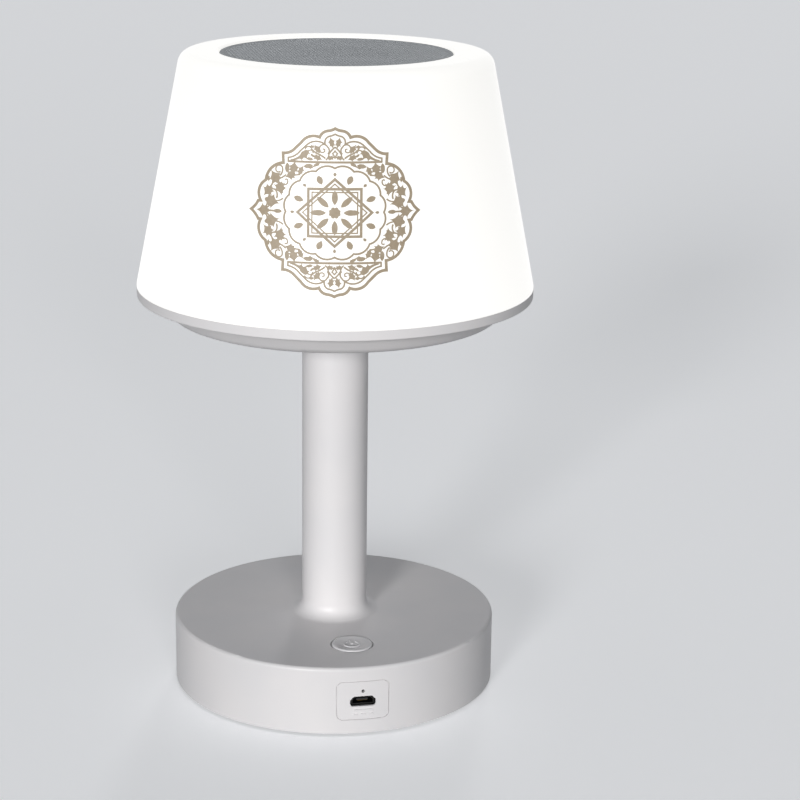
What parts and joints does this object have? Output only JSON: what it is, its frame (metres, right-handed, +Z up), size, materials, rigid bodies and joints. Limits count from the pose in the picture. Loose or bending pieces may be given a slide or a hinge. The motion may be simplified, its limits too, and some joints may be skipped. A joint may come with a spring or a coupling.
{
  "type": "lamp clock",
  "caption": "Free-standing lamp clock: round weighted base with push button and charging socket, straight post, tapered opal shade with a speaker under a grille in its top.",
  "frame": {"origin": "on the table under the post's axis, at the underside of the foot pad", "axes": "+Z up along the post, -Y towards the charging socket and the button"},
  "size_m": [0.132, 0.132, 0.2168],
  "materials": {
    "white_shell": "satin white moulded ABS",
    "post_plastic": "satin white moulded ABS",
    "housing_plastic": "satin white moulded ABS",
    "button_plastic": "satin white moulded ABS",
    "opal_shade": "opal white diffuser, satin",
    "grille_mesh": "grey painted perforated plate",
    "grille_cloth": "open acoustic cloth",
    "pad_rubber": "matt black rubber",
    "gasket_foam": "closed-cell foam",
    "plated_steel": "zinc plated",
    "screw_steel": "nickel plated",
    "socket_steel": "nickel plated sheet",
    "socket_plastic": "black moulded nylon",
    "contact_gold": "gold flash",
    "cell_sleeve": "shrink sleeve",
    "nickel": "nickel strip",
    "wire_jacket": "soft jacket",
    "board_laminate": "green solder resist",
    "white_board": "white solder resist",
    "chip_resin": "black epoxy",
    "capacitor_can": "drawn can",
    "crystal_can": "drawn can",
    "plug_nylon": "natural nylon",
    "led_package": "phosphor-filled resin",
    "clear_guide": "clear moulded acrylic",
    "basket_steel": "black painted pressing",
    "ferrite": "sintered ferrite",
    "coil_copper": "enamelled copper wire",
    "cone_paper": "pressed paper",
    "spider_cloth": "resin-stiffened cloth"
  },
  "bodies": {
    "lamp": {"base_shell": "white_shell", "base_plate": "white_shell", "base_plate_screws": "screw_steel", "foot_pad": "pad_rubber", "counterweight": "plated_steel", "battery_cell": "cell_sleeve", "battery_tabs": "nickel", "battery_wires": "wire_jacket", "main_board": "board_laminate", "board_chips": "chip_resin", "board_capacitors": "capacitor_can", "clock_crystal": "crystal_can", "board_plugs": "plug_nylon", "board_screws": "screw_steel", "usb_shell": "socket_steel", "usb_tongue": "socket_plastic", "usb_contacts": "contact_gold", "charge_led": "led_package", "light_guide": "clear_guide", "switch_body": "socket_plastic", "post": "post_plastic", "tie_tube": "plated_steel", "base_nut": "plated_steel", "base_washer": "plated_steel", "head_nut": "plated_steel", "head_washer": "plated_steel", "harness": "wire_jacket", "led_lead": "wire_jacket", "head_housing": "housing_plastic", "led_board": "white_board", "leds": "led_package", "led_board_screws": "screw_steel", "led_plug": "plug_nylon", "shade": "opal_shade", "speaker_baffle": "housing_plastic", "baffle_screws": "screw_steel", "speaker_cup": "housing_plastic", "cup_grommet": "pad_rubber", "speaker_gasket": "gasket_foam", "speaker_basket": "basket_steel", "speaker_terminal": "board_laminate", "speaker_screws": "screw_steel", "top_plate": "plated_steel", "magnet": "ferrite", "yoke": "plated_steel", "spider": "spider_cloth", "surround": "pad_rubber", "grille": "grille_mesh", "grille_cloth": "grille_cloth"},
    "power_button": {"power_button": "button_plastic"},
    "switch_plunger": {"switch_plunger": "socket_plastic"},
    "speaker_cone": {"voice_coil": "coil_copper", "cone": "cone_paper", "dust_cap": "cone_paper"}
  },
  "joints": [
    {"name": "button_slide", "type": "slide", "parent": "lamp", "child": "power_button", "axis": [0, 0, -1], "range_m": [0, 0.0003], "stiffness_N_per_m": 1500},
    {"name": "plunger_slide", "type": "slide", "parent": "lamp", "child": "switch_plunger", "axis": [0, 0, -1], "range_m": [0, 0.0003]},
    {"name": "cone_slide", "type": "slide", "parent": "lamp", "child": "speaker_cone", "axis": [0, 0, 1], "range_m": [-0.0008, 0.0008], "stiffness_N_per_m": 900, "deforming": ["surround", "spider"]}
  ],
  "couplings": [
    {"joint": "plunger_slide", "follows": "button_slide", "ratio": 1}
  ]
}
